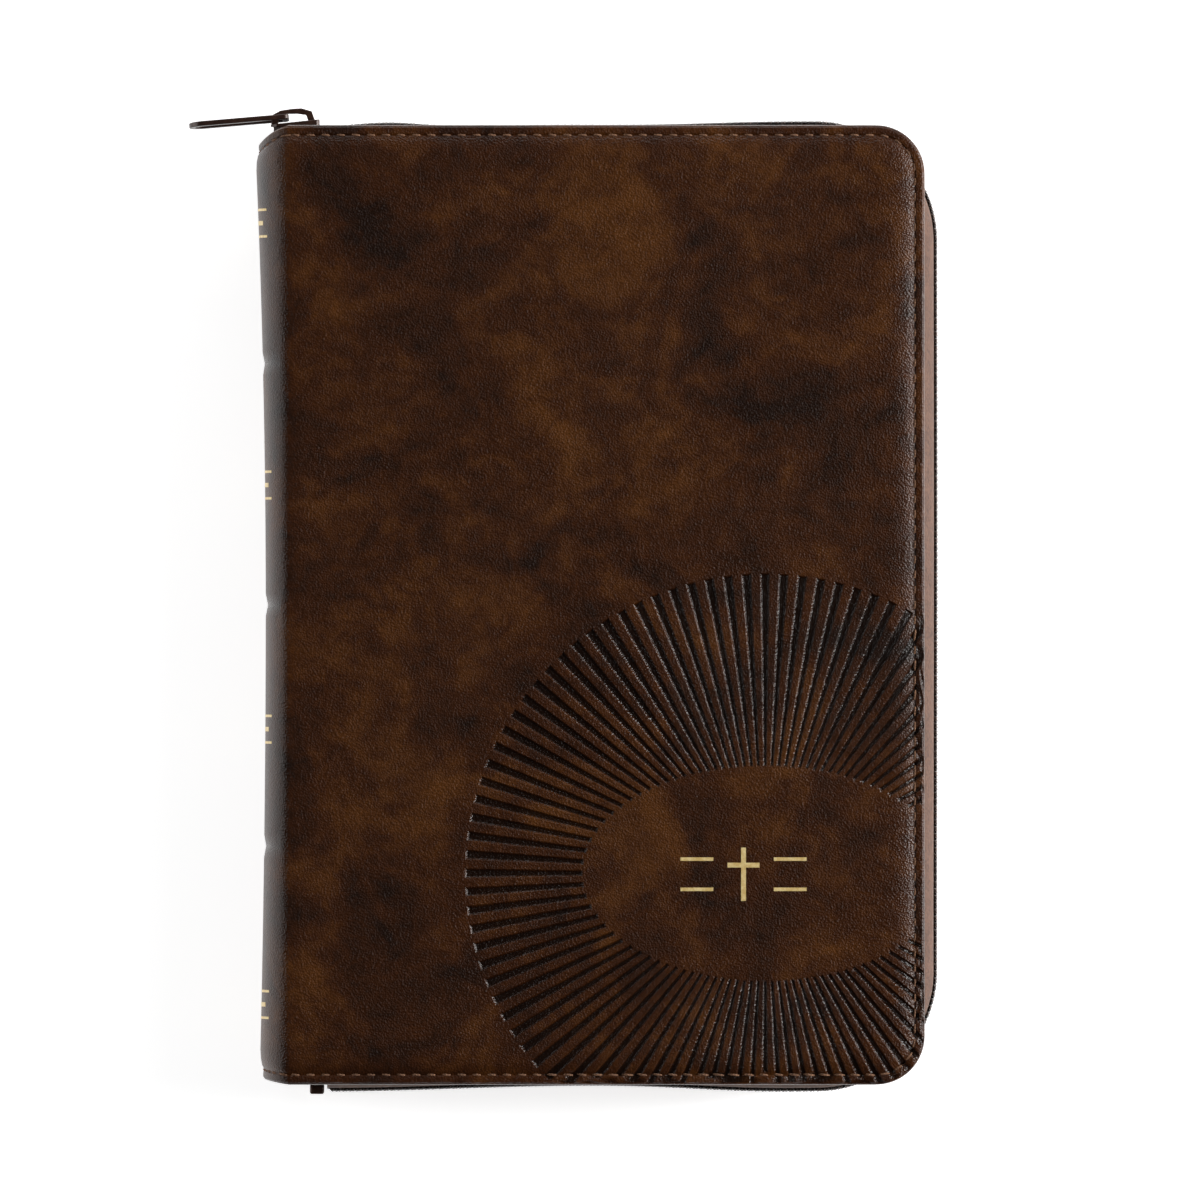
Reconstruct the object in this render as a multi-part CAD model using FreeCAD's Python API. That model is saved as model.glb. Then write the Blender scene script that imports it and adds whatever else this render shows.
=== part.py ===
import FreeCAD, Part
import math
import os

from FreeCAD import Vector

# A zip-round bible lying on its back cover. Millimetres, +Z up, +Y towards the head,
# +X towards the fore-edge. The origin is the centre of the flat back panel.

# ---------------------------------------------------------------- driving dimensions
FORE_X = 75.0              # fore-edge of both covers
HALF_HEIGHT = 108.0        # head and tail of both covers, from the middle
THICKNESS = 36.0           # closed book, back panel to front panel
CORNER_R = 11.0            # fore-edge corners of the covers
MID_Z = THICKNESS / 2      # the zip closes at mid thickness

# layers of a cover, as depths below its outer face
LEATHER_T = 0.9
HEM_DEPTH = 0.8            # the stitched hem is this much lower than the padded panel
FOAM_DEPTH = 2.05
BOARD_DEPTH = 2.95
LINING_DEPTH = 3.25
PASTEDOWN_DEPTH = 3.4
EDGE_DEPTH = 3.1           # how far the leather wraps down the cover's edge

# how far each layer stays inside the cover's outline
PANEL_INSET = 2.7
STITCH_INSET = 2.25
BOARD_INSET = 1.2
FOAM_INSET = 2.9
LINING_INSET = 1.4
LINING_SPINE_GAP = 0.6
BOARD_SPINE_X = -57.0      # boards and foam stop short of the hinge
FIT_GAP = 0.05             # glued layers, edge to edge

# spine: half an ellipse from panel to panel
SPINE_X = -68.0            # where the panels turn into the spine
SPINE_BULGE = 7.0
JOINT_X = -64.0            # where the front cover starts to swing
JOINT_Z = 31.0             # where the spine leather starts to flex
JOINT_GAP = 0.15
SPINE_DIP = 3.8            # head and tail edges of the spine are lower at mid thickness
STIFFENER_T = 0.6
STIFFENER_HALF_Z = 12.0
STIFFENER_HALF_Y = 100.0

# text block
BLOCK_BOTTOM = 3.5
BLOCK_TOP = 31.6
BLOCK_SPINE_X = -63.5
BLOCK_FORE_X = 69.5
BLOCK_HALF_Y = 101.0
BLOCK_CORNER_R = 12.0
BLOCK_ROUND = 5.0          # how far the rounded back stands out
FORE_HOLLOW = 3.5          # how far the fore-edge is hollowed
LEAVES_GAP = 0.1
LEAVES_T = 0.5
FLYLEAF_T = 0.15
LEAF_SPINE_X = -63.0
MULL_T = 0.4
MULL_HALF_Z = 12.0
MULL_HALF_Y = 98.0
BAND_LENGTH = 1.5
BAND_HALF_Z = 13.0

# zip: plan of the tape's outer face, and sections across it
ZIP_START = (-66.8, 106.4)
ZIP_TILT = 0.85            # degrees, the head run leans outward towards the fore-edge
ZIP_FORE_X = 77.1
ZIP_TAIL_Y = -108.8
ZIP_END_X = -60.0
ZIP_CORNER_R = 26.0
TAPE_T = 0.5
TAPE_EDGE_Z = 1.6          # free edge of each tape, from mid thickness
TAPE_UPRIGHT_Z = 6.0       # the tape stands upright to here, then leans in to the cover
TAPE_LEAN = 3.5
TAPE_LEAN_MID = (1.0, 4.9)
COIL_T = 1.2
COIL_GAP = 0.15
COIL_HALF_W = 3.0
STOP_LENGTH = 3.2
STOP_HALF_Z = 3.4
STOP_WALL = 0.3

# slider, in its own frame: u along the zip, n outward, w across the zip
SLIDER_NOSE = -5.5
SLIDER_REAR = 5.5
SLIDER_WIDE = 4.6
SLIDER_NARROW = 3.9
CHANNEL_LOW = -0.75
CHANNEL_HIGH = 1.45
PLATE_T = 0.9
NOSE_TOP = 2.0
REAR_TOP = 3.0
FLANGE_LOW = 0.5
FLANGE_W = 3.45
POST_HALF_W = 1.2
BRIDGE_HALF_W = 1.2
BRIDGE_TOP = 5.35
BRIDGE_UNDER = 4.55
PIVOT_U = -2.1
PIVOT_N = 3.45

# pull: an open ring with rounded ends
PULL_LENGTH = 22.6
PULL_BAR = 1.1
PULL_HALF_W = 3.3
PULL_INNER_HALF_W = 1.9
PULL_CORNER_R = 1.2
PULL_HOLE_CORNER_R = 0.5
PULL_LEAN = 4.0            # degrees, towards the spine's head at rest
PULL_ROLL = 6.0            # degrees about its own length

# stitching
STITCH_PITCH = 3.4
STITCH_LENGTH = 2.5
STITCH_W = 0.6
STITCH_T = 0.35

FRONT = 1
BACK = -1
X_AXIS = Vector(1, 0, 0)
Y_AXIS = Vector(0, 1, 0)
Z_AXIS = Vector(0, 0, 1)


# ---------------------------------------------------------------- helpers
def block(low, high):
    """Box between two opposite corners."""
    size = [b - a for a, b in zip(low, high)]
    return Part.makeBox(size[0], size[1], size[2], Vector(*low))


def prism(points, direction):
    """Extrude a closed polygon."""
    wire = Part.makePolygon(points + [points[0]])
    return Part.Face(wire).extrude(direction)


def three_point_arc(a, b, c):
    return Part.Arc(a, b, c).toShape()


def line(a, b):
    return Part.LineSegment(a, b).toShape()


def cover_z(side, depth):
    """Height of a layer that lies this deep below the cover's outer face."""
    return THICKNESS - depth if side == FRONT else depth


def sheet_outline(spine_x, x, y, r):
    """Closed outline from the spine to x, 2 y tall, rounded at the fore-edge corners."""
    diagonal = r * (1 - math.sqrt(0.5))
    edges = [
        line(Vector(spine_x, -y), Vector(x - r, -y)),
        three_point_arc(Vector(x - r, -y), Vector(x - diagonal, diagonal - y), Vector(x, r - y)),
        line(Vector(x, r - y), Vector(x, y - r)),
        three_point_arc(Vector(x, y - r), Vector(x - diagonal, y - diagonal), Vector(x - r, y)),
        line(Vector(x - r, y), Vector(spine_x, y)),
        line(Vector(spine_x, y), Vector(spine_x, -y)),
    ]
    return Part.Wire(edges)


def cover_outline(spine_x, inset):
    return sheet_outline(spine_x, FORE_X - inset, HALF_HEIGHT - inset, CORNER_R - inset)


def cover_slab(side, spine_x, inset, near, far):
    """Layer of a cover between two depths below its outer face."""
    slab = Part.Face(cover_outline(spine_x, inset)).extrude(Vector(0, 0, far - near))
    low = min(cover_z(side, near), cover_z(side, far))
    slab.translate(Vector(0, 0, low))
    return slab


def ellipse_bar(half_z, half_x, half_y):
    """Bar along Y with an elliptical section, centred on the spine's turning line."""
    curve = Part.Ellipse(Vector(0, 0, 0), half_z, half_x)
    bar = Part.Face(Part.Wire(curve.toShape())).extrude(Vector(0, 0, 2 * half_y))
    # the section is drawn in XY: turn its long axis to Z and its length to Y
    bar.rotate(Vector(0, 0, 0), Z_AXIS, 90)
    bar.rotate(Vector(0, 0, 0), X_AXIS, 90)
    bar.translate(Vector(SPINE_X, half_y, MID_Z))
    return bar


def spine_shell(outer_gap, thickness, half_y):
    """Curved sheet under the spine's outer face."""
    outer = ellipse_bar(MID_Z - outer_gap, SPINE_BULGE - outer_gap, half_y)
    inset = outer_gap + thickness
    inner = ellipse_bar(MID_Z - inset, SPINE_BULGE - inset, half_y + 1)
    return outer.cut(inner)


def without_spine_dips(shape):
    """Cut the shallow dips at the head and the tail of the spine."""
    radius = (MID_Z ** 2 + SPINE_DIP ** 2) / (2 * SPINE_DIP)
    for sign in (-1, 1):
        y = sign * (HALF_HEIGHT - SPINE_DIP + radius)
        base = Vector(SPINE_X - SPINE_BULGE - 5, y, MID_Z)
        shape = shape.cut(Part.makeCylinder(radius, 2 * SPINE_BULGE + 10, base, X_AXIS))
    return shape


# ---------------------------------------------------------------- covers
def cover_leather(side, spine_x):
    hem = cover_slab(side, spine_x, 0, HEM_DEPTH, EDGE_DEPTH)
    panel = cover_slab(side, spine_x, PANEL_INSET, 0, BOARD_DEPTH)
    board_pocket = cover_slab(side, spine_x - 1, BOARD_INSET, FOAM_DEPTH, LINING_DEPTH + 1)
    foam_pocket = cover_slab(side, spine_x - 1, FOAM_INSET, LEATHER_T, FOAM_DEPTH)
    return hem.fuse(panel).cut(board_pocket).cut(foam_pocket).removeSplitter()


def make_cover(side, name, spine_x):
    """All the layers of one cover, from outside in."""
    return {
        name + "_cover_leather": cover_leather(side, spine_x),
        name + "_cover_foam": cover_slab(
            side, BOARD_SPINE_X, FOAM_INSET + FIT_GAP, LEATHER_T, FOAM_DEPTH),
        name + "_cover_board": cover_slab(
            side, BOARD_SPINE_X, BOARD_INSET + FIT_GAP, FOAM_DEPTH, BOARD_DEPTH),
        name + "_cover_lining": cover_slab(
            side, spine_x + LINING_SPINE_GAP, LINING_INSET, BOARD_DEPTH, LINING_DEPTH),
    }


def make_pastedown(side):
    """Endpaper glued to the lining, the size of a leaf."""
    sheet = Part.Face(page_outline(LEAF_SPINE_X, 0)).extrude(Vector(0, 0, PASTEDOWN_DEPTH - LINING_DEPTH))
    sheet.translate(Vector(0, 0, min(cover_z(side, LINING_DEPTH), cover_z(side, PASTEDOWN_DEPTH))))
    return sheet


# ---------------------------------------------------------------- spine
def make_spine_leather():
    shell = spine_shell(0, LEATHER_T, HALF_HEIGHT)
    keep = block((SPINE_X - SPINE_BULGE - 1, -HALF_HEIGHT, -1), (SPINE_X, HALF_HEIGHT, JOINT_Z))
    return without_spine_dips(shell.common(keep))


def make_joint_leather():
    shell = spine_shell(0, LEATHER_T, HALF_HEIGHT)
    low = (SPINE_X - SPINE_BULGE - 1, -HALF_HEIGHT, JOINT_Z + FIT_GAP)
    curve = shell.common(block(low, (SPINE_X, HALF_HEIGHT, THICKNESS + 1)))
    flat = block((SPINE_X, -HALF_HEIGHT, THICKNESS - LEATHER_T),
                 (JOINT_X - JOINT_GAP, HALF_HEIGHT, THICKNESS))
    return without_spine_dips(curve.fuse(flat).removeSplitter())


def make_spine_stiffener():
    shell = spine_shell(LEATHER_T + FIT_GAP, STIFFENER_T, STIFFENER_HALF_Y)
    keep = block((SPINE_X - SPINE_BULGE, -STIFFENER_HALF_Y, MID_Z - STIFFENER_HALF_Z),
                 (SPINE_X, STIFFENER_HALF_Y, MID_Z + STIFFENER_HALF_Z))
    return shell.common(keep)


# ---------------------------------------------------------------- text block
BLOCK_MID_Z = (BLOCK_BOTTOM + BLOCK_TOP) / 2
BLOCK_HALF_Z = (BLOCK_TOP - BLOCK_BOTTOM) / 2
BACK_RADIUS = (BLOCK_HALF_Z ** 2 + BLOCK_ROUND ** 2) / (2 * BLOCK_ROUND)
BACK_CENTRE_X = BLOCK_SPINE_X - BLOCK_ROUND + BACK_RADIUS


def page_outline(spine_x, inset):
    return sheet_outline(spine_x, BLOCK_FORE_X - inset, BLOCK_HALF_Y - inset, BLOCK_CORNER_R - inset)


def make_page_block():
    """Rounded back, hollow fore-edge."""
    y = -BLOCK_HALF_Y
    top_back = Vector(BLOCK_SPINE_X, y, BLOCK_TOP)
    top_fore = Vector(BLOCK_FORE_X, y, BLOCK_TOP)
    low_fore = Vector(BLOCK_FORE_X, y, BLOCK_BOTTOM)
    low_back = Vector(BLOCK_SPINE_X, y, BLOCK_BOTTOM)
    mid_fore = Vector(BLOCK_FORE_X - FORE_HOLLOW, y, BLOCK_MID_Z)
    mid_back = Vector(BLOCK_SPINE_X - BLOCK_ROUND, y, BLOCK_MID_Z)
    edges = [
        line(top_back, top_fore),
        three_point_arc(top_fore, mid_fore, low_fore),
        line(low_fore, low_back),
        three_point_arc(low_back, mid_back, top_back),
    ]
    block_solid = Part.Face(Part.Wire(edges)).extrude(Vector(0, 2 * BLOCK_HALF_Y, 0))
    outline = page_outline(BLOCK_SPINE_X - BLOCK_ROUND - 1, 0)
    rounded = Part.Face(outline).extrude(Vector(0, 0, THICKNESS))
    return block_solid.common(rounded)


def back_ring(inner, outer, y_low, y_high, half_z):
    """Sector of a ring that follows the text block's rounded back."""
    base = Vector(BACK_CENTRE_X, y_low, BLOCK_MID_Z)
    ring = Part.makeCylinder(outer, y_high - y_low, base, Y_AXIS)
    ring = ring.cut(Part.makeCylinder(inner, y_high - y_low, base, Y_AXIS))
    keep = block((BACK_CENTRE_X - outer - 1, y_low, BLOCK_MID_Z - half_z),
                 (BACK_CENTRE_X, y_high, BLOCK_MID_Z + half_z))
    return ring.common(keep)


def make_spine_mull():
    inner = BACK_RADIUS + FIT_GAP
    return back_ring(inner, inner + MULL_T, -MULL_HALF_Y, MULL_HALF_Y, MULL_HALF_Z)


def make_band(sign):
    """Woven band at one end of the text block's back."""
    near = sign * (BLOCK_HALF_Y + FIT_GAP)
    far = sign * (BLOCK_HALF_Y + FIT_GAP + BAND_LENGTH)
    return back_ring(BACK_RADIUS - 1.6, BACK_RADIUS + 0.2, min(near, far), max(near, far), BAND_HALF_Z)


def make_leaf(bottom, thickness, inset):
    """Thin sheaf of paper, bound at the spine."""
    leaf = Part.Face(page_outline(LEAF_SPINE_X, inset)).extrude(Vector(0, 0, thickness))
    leaf.translate(Vector(0, 0, bottom))
    return leaf


# ---------------------------------------------------------------- zip
TILT = math.radians(ZIP_TILT)


def zip_path():
    """Plan of the tape's outer face: head, fore-edge and tail, with two round corners."""
    r = ZIP_CORNER_R
    centre_x = ZIP_FORE_X - r
    start = Vector(ZIP_START[0], ZIP_START[1])
    # the head run leaves the arc where the arc's tangent has the run's tilt
    head_x = centre_x - r * math.sin(TILT)
    head_y = start.y + (head_x - start.x) * math.tan(TILT)
    head_end = Vector(head_x, head_y)
    centre_y = head_y - r * math.cos(TILT)
    fore_start = Vector(ZIP_FORE_X, centre_y)
    half_turn = math.radians(45) + TILT / 2
    corner = Vector(centre_x + r * math.cos(half_turn), centre_y + r * math.sin(half_turn))
    fore_end = Vector(ZIP_FORE_X, ZIP_TAIL_Y + r)
    diagonal = r * math.sqrt(0.5)
    low_corner = Vector(centre_x + diagonal, ZIP_TAIL_Y + r - diagonal)
    tail_start = Vector(centre_x, ZIP_TAIL_Y)
    return Part.Wire([
        line(start, head_end),
        three_point_arc(head_end, corner, fore_start),
        line(fore_start, fore_end),
        three_point_arc(fore_end, low_corner, tail_start),
        line(tail_start, Vector(ZIP_END_X, ZIP_TAIL_Y)),
    ])


def at_zip_start(n, height):
    """Point across the zip at its start: n outward from the tape, height above the table."""
    return Vector(ZIP_START[0] - n * math.sin(TILT), ZIP_START[1] + n * math.cos(TILT), height)


def sweep_along_zip(edges):
    section = Part.Wire(edges)
    return zip_path().makePipeShell([section], True, False)


def make_tape(side):
    """Half of the zip tape: upright at the coil, leaning in to the edge of its cover."""
    edge_z = MID_Z + side * TAPE_EDGE_Z
    upright_z = MID_Z + side * TAPE_UPRIGHT_Z
    cover_edge_z = cover_z(side, PASTEDOWN_DEPTH - 0.1)
    mid_z = upright_z + side * TAPE_LEAN_MID[1]
    outer = [at_zip_start(n, z) for n, z in (
        (0, edge_z), (0, upright_z), (-TAPE_LEAN_MID[0], mid_z), (-TAPE_LEAN, cover_edge_z))]
    inner = [at_zip_start(n - TAPE_T, z) for n, z in (
        (0, edge_z), (0, upright_z), (-TAPE_LEAN_MID[0], mid_z), (-TAPE_LEAN, cover_edge_z))]
    return sweep_along_zip([
        line(outer[0], outer[1]),
        three_point_arc(outer[1], outer[2], outer[3]),
        line(outer[3], inner[3]),
        three_point_arc(inner[3], inner[2], inner[1]),
        line(inner[1], inner[0]),
        line(inner[0], outer[0]),
    ])


def make_coil(side):
    """Half of the closed coil, as a plain strip."""
    near = MID_Z + side * COIL_GAP
    far = MID_Z + side * COIL_HALF_W
    corners = [at_zip_start(n, z) for n, z in (
        (FIT_GAP, near), (COIL_T, near), (COIL_T, far), (FIT_GAP, far))]
    ends = corners[1:] + corners[:1]
    return sweep_along_zip([line(a, b) for a, b in zip(corners, ends)])


def make_end_stop():
    """Crimped stop just past the tail end of the coil."""
    end_x = ZIP_END_X - STOP_WALL
    low = (end_x - STOP_LENGTH, ZIP_TAIL_Y - COIL_T - STOP_WALL, MID_Z - STOP_HALF_Z)
    high = (end_x, ZIP_TAIL_Y + TAPE_T + STOP_WALL, MID_Z + STOP_HALF_Z)
    stop = block(low, high)
    return stop.makeFillet(0.5, stop.Edges)


# ---------------------------------------------------------------- slider and pull
def to_slider_place(shape):
    """Move a shape from the slider's own frame (u, n, w) to its place at rest."""
    shape = shape.copy()
    shape.rotate(Vector(0, 0, 0), Z_AXIS, ZIP_TILT)
    shape.translate(Vector(ZIP_START[0], ZIP_START[1], MID_Z))
    return shape


def slider_plate(low, high):
    """Flat plate of the slider, wide at the nose and narrow at the rear."""
    half = [(SLIDER_NOSE, 3.0), (SLIDER_NOSE + 1.3, SLIDER_WIDE), (0.5, SLIDER_WIDE - 0.15),
            (SLIDER_REAR - 0.6, SLIDER_NARROW), (SLIDER_REAR, SLIDER_NARROW - 0.6)]
    outline = half + [(u, -w) for u, w in reversed(half)]
    return prism([Vector(u, low, w) for u, w in outline], Vector(0, high - low, 0))


def make_slider_body():
    inner = slider_plate(CHANNEL_LOW - PLATE_T, CHANNEL_LOW)
    outer = slider_plate(CHANNEL_HIGH, REAR_TOP)
    # the outer plate thins towards the nose
    above = prism([Vector(u, n, -10) for u, n in (
        (SLIDER_NOSE - 1, NOSE_TOP), (SLIDER_NOSE, NOSE_TOP), (SLIDER_REAR, REAR_TOP),
        (SLIDER_REAR, REAR_TOP + 5), (SLIDER_NOSE - 1, REAR_TOP + 5))], Vector(0, 0, 20))
    outer = outer.cut(above)
    post = prism([Vector(u, CHANNEL_LOW, w) for u, w in (
        (-4.9, -0.6), (-3.4, -POST_HALF_W), (-1.2, 0), (-3.4, POST_HALF_W), (-4.9, 0.6))],
        Vector(0, CHANNEL_HIGH - CHANNEL_LOW, 0))
    rim = slider_plate(FLANGE_LOW, CHANNEL_HIGH)
    channel = block((SLIDER_NOSE - 1, FLANGE_LOW - 1, -FLANGE_W),
                    (SLIDER_REAR + 1, CHANNEL_HIGH, FLANGE_W))
    nose_clear = block((SLIDER_NOSE - 1, FLANGE_LOW - 1, -10),
                       (SLIDER_NOSE + 2.5, CHANNEL_HIGH, 10))
    flanges = rim.cut(channel).cut(nose_clear)
    return inner.fuse([outer, post, flanges]).removeSplitter()


def make_slider_bridge(body):
    """Raised bridge that carries the pull, with its feet on the outer plate."""
    z = -BRIDGE_HALF_W
    outer = [(-5.3, 1.9), (-4.8, 4.1), (-3.2, 4.9), (-0.8, 5.25), (1.4, BRIDGE_TOP), (3.6, 4.7),
             (4.4, 2.6)]
    inner = [(3.2, 2.6), (2.6, BRIDGE_UNDER - 0.3), (0.5, BRIDGE_UNDER), (-2.6, BRIDGE_UNDER),
             (-3.8, BRIDGE_UNDER - 0.5), (-4.1, 1.9)]
    solid = prism([Vector(u, n, z) for u, n in outer + inner], Vector(0, 0, 2 * BRIDGE_HALF_W))
    return solid.cut(body)


def loop_outline(inset, corner_r):
    """Flat outline of the pull, square at the pivot end and round at the tip."""
    half = PULL_HALF_W - inset
    right = -inset
    tip = PULL_HALF_W - PULL_LENGTH
    soft = corner_r * (1 - math.sqrt(0.5))
    return Part.Face(Part.Wire([
        line(Vector(right - corner_r, 0, half), Vector(tip, 0, half)),
        three_point_arc(Vector(tip, 0, half), Vector(tip - half, 0, 0), Vector(tip, 0, -half)),
        line(Vector(tip, 0, -half), Vector(right - corner_r, 0, -half)),
        three_point_arc(Vector(right - corner_r, 0, -half), Vector(right - soft, 0, soft - half),
                        Vector(right, 0, corner_r - half)),
        line(Vector(right, 0, corner_r - half), Vector(right, 0, half - corner_r)),
        three_point_arc(Vector(right, 0, half - corner_r), Vector(right - soft, 0, half - soft),
                        Vector(right - corner_r, 0, half)),
    ]))


def make_zip_pull():
    """Open ring, hung on the bridge, at rest pointing past the spine."""
    bar = PULL_HALF_W - PULL_INNER_HALF_W
    outer = loop_outline(0, PULL_CORNER_R).extrude(Vector(0, PULL_BAR, 0))
    hole = loop_outline(bar, PULL_HOLE_CORNER_R).extrude(Vector(0, PULL_BAR, 0))
    ring = outer.cut(hole)
    # the pivot is the middle of the end bar inside the bridge
    ring.translate(Vector(bar / 2, -PULL_BAR / 2, 0))
    ring.rotate(Vector(0, 0, 0), X_AXIS, -PULL_ROLL)
    ring.rotate(Vector(0, 0, 0), Z_AXIS, PULL_LEAN)
    ring.translate(Vector(PIVOT_U, PIVOT_N, 0))
    return ring


# ---------------------------------------------------------------- stitching
def stitch(middle, direction, across):
    """One stitch lying on the leather, as a small bar."""
    along = Vector(direction).normalize() * (STITCH_LENGTH / 2)
    side = Vector(across).normalize() * (STITCH_W / 2)
    up = along.cross(side).normalize() * STITCH_T
    corners = [middle - along - side, middle + along - side,
               middle + along + side, middle - along + side]
    return prism(corners, up)


def make_edge_stitching(side, spine_x):
    """Row of stitches round three sides of a cover, on its hem."""
    outline = cover_outline(spine_x + 1, STITCH_INSET)
    path = Part.Wire(outline.OrderedEdges[:5])
    count = int(path.Length / STITCH_PITCH)
    points = path.discretize(Number=2 * count + 1)
    low = cover_z(side, HEM_DEPTH) + (FIT_GAP if side == FRONT else -FIT_GAP - STITCH_T)
    bars = []
    for i in range(1, len(points) - 1, 2):
        direction = points[i + 1] - points[i - 1]
        middle = Vector(points[i].x, points[i].y, low)
        bars.append(stitch(middle, direction, Z_AXIS.cross(direction)))
    return Part.makeCompound(bars)


def make_spine_stitching():
    """Two rows of stitches across the rounded spine, near its head and its tail."""
    radius = (MID_Z ** 2 + SPINE_DIP ** 2) / (2 * SPINE_DIP)
    half_z = MID_Z + FIT_GAP
    half_x = SPINE_BULGE + FIT_GAP
    steps = 22
    bars = []
    for sign in (-1, 1):
        for i in range(3, steps - 8):
            angle = math.pi * (i + 0.5) / steps
            x = SPINE_X - half_x * math.sin(angle)
            z = MID_Z - half_z * math.cos(angle)
            dip = radius - math.sqrt(radius ** 2 - (z - MID_Z) ** 2)
            y = sign * (HALF_HEIGHT - SPINE_DIP + dip - STITCH_INSET)
            tangent = Vector(-half_x * math.cos(angle), 0, half_z * math.sin(angle))
            bar = stitch(Vector(x, y, z), tangent, Y_AXIS)
            bars.append(bar)
    return Part.makeCompound(bars)


# ---------------------------------------------------------------- assembly
def make_parts():
    parts = {}
    parts.update(make_cover(BACK, "back", SPINE_X))
    parts.update(make_cover(FRONT, "front", JOINT_X + JOINT_GAP))
    parts["rear_pastedown"] = make_pastedown(BACK)
    parts["front_pastedown"] = make_pastedown(FRONT)
    parts["spine_leather"] = make_spine_leather()
    parts["front_joint_leather"] = make_joint_leather()
    parts["spine_stiffener"] = make_spine_stiffener()
    parts["page_block"] = make_page_block()
    parts["spine_mull"] = make_spine_mull()
    parts["head_band"] = make_band(1)
    parts["tail_band"] = make_band(-1)
    leaves_z = BLOCK_TOP + LEAVES_GAP
    flyleaf_z = leaves_z + LEAVES_T + LEAVES_GAP
    parts["first_leaves"] = make_leaf(leaves_z, LEAVES_T, 0)
    parts["front_flyleaf"] = make_leaf(flyleaf_z, FLYLEAF_T, 0.5)
    parts["front_zip_tape"] = make_tape(FRONT)
    parts["back_zip_tape"] = make_tape(BACK)
    parts["front_zip_coil"] = make_coil(FRONT)
    parts["back_zip_coil"] = make_coil(BACK)
    parts["zip_end_stop"] = make_end_stop()
    body = make_slider_body()
    parts["slider_body"] = to_slider_place(body)
    parts["slider_bridge"] = to_slider_place(make_slider_bridge(body))
    parts["zip_pull"] = to_slider_place(make_zip_pull())
    parts["front_edge_stitching"] = make_edge_stitching(FRONT, JOINT_X + JOINT_GAP)
    parts["back_edge_stitching"] = make_edge_stitching(BACK, SPINE_X)
    parts["spine_stitching"] = make_spine_stitching()
    return parts


os.makedirs("parts", exist_ok=True)
for node, shape in make_parts().items():
    print(f"{node}: {len(shape.Solids)} solids, {shape.Volume:.1f} mm3, valid {shape.isValid()}")
    shape.exportStep(f"parts/{node}.step")
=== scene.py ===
import math
import random

import bmesh
import bpy
import numpy as np
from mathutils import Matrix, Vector, geometry


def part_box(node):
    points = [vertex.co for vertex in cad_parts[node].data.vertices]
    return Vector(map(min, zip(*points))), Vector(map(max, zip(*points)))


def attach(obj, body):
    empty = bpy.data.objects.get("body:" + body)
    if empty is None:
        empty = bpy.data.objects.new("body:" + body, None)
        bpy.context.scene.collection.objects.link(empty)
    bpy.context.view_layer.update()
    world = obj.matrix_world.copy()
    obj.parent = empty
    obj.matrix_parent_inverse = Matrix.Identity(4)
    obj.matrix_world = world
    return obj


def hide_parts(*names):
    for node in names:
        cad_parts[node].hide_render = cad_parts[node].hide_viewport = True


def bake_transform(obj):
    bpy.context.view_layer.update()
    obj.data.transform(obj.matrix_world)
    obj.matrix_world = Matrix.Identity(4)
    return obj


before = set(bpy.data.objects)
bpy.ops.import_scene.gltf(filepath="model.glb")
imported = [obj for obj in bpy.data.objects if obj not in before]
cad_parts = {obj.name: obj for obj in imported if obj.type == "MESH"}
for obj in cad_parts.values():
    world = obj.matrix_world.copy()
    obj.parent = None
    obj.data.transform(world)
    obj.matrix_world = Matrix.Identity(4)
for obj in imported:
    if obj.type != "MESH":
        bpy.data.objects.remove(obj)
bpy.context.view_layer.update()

# Looks of a zip-round bible lying on its back cover. Lengths are millimetres until a mesh is
# made; +Z is up, +Y the head, +X the fore-edge.
MM = 0.001
random.seed(7)


def box_mm(node):
    low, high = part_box(node)
    return [v / MM for v in low], [v / MM for v in high]


# ---------------------------------------------------------------- driving dimensions
FORE_X = box_mm("front_cover_leather")[1][0]
HALF_HEIGHT = box_mm("front_cover_leather")[1][1]
THICKNESS = box_mm("front_cover_leather")[1][2]
MID_Z = THICKNESS / 2
CORNER_R = 11.0
SPINE_X = -68.0            # where the panels turn into the spine
HEAD_DIP = 3.8             # the head edge of the spine is lower at mid thickness
TAIL_DIP = 1.0
DIP_START = 70.0           # the dip grows from this far above or below mid height
SPINE_BULGE = 5.5          # at mid height; the spine is waisted
HEAD_FLARE = 2.2           # more bulge 100 mm above mid height
TAIL_FLARE = 1.2
SPINE_TURNS = 37           # rows of points round the spine
GROOVES = (-55.0, 0.0, 55.0)
GROOVE_DEPTH = 0.5
GROOVE_TURN = 0.41         # a groove starts this far round from each panel
# cover edge: (distance in from the outline, drop below the panel)
EDGE_PROFILE = [(0.0, 1.95), (0.15, 1.2), (0.6, 0.82), (1.2, 0.75), (1.9, 0.8), (2.25, 1.05),
                (2.6, 0.85), (3.4, 0.46), (4.9, 0.16), (7.0, 0.0)]
TURNED_UNDER = [(0.35, 2.75), (0.9, 3.0)]
SEAM_INSET = 2.25
STITCH_PITCH = 3.4
STITCH_LENGTH = 2.6
GRID = 2.6                 # point spacing on a panel
CORNER_POINTS = 15

# debossed sunburst
SUN = (39.0, -60.4)
SUN_R = 67.5
SUN_OVAL = (41.0, 24.0)
RAYS = 100
RAY_FRACTION = 0.54        # of the pitch
RAY_WALL = 0.5             # widest sloping side of a ray
RAY_WALL_SHARE = 0.65      # a narrow ray's side, of its half width
RAY_SLOPE = 0.85           # depth of a side for its width
RAY_END = 0.5              # length of a ray's sloping ends
RAY_FADE_START = 0.15      # a ray deepens from here, in from the cover's edge
RAY_FADE = 0.45
FOIL_CENTRE = (34.2, -60.6)

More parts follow.
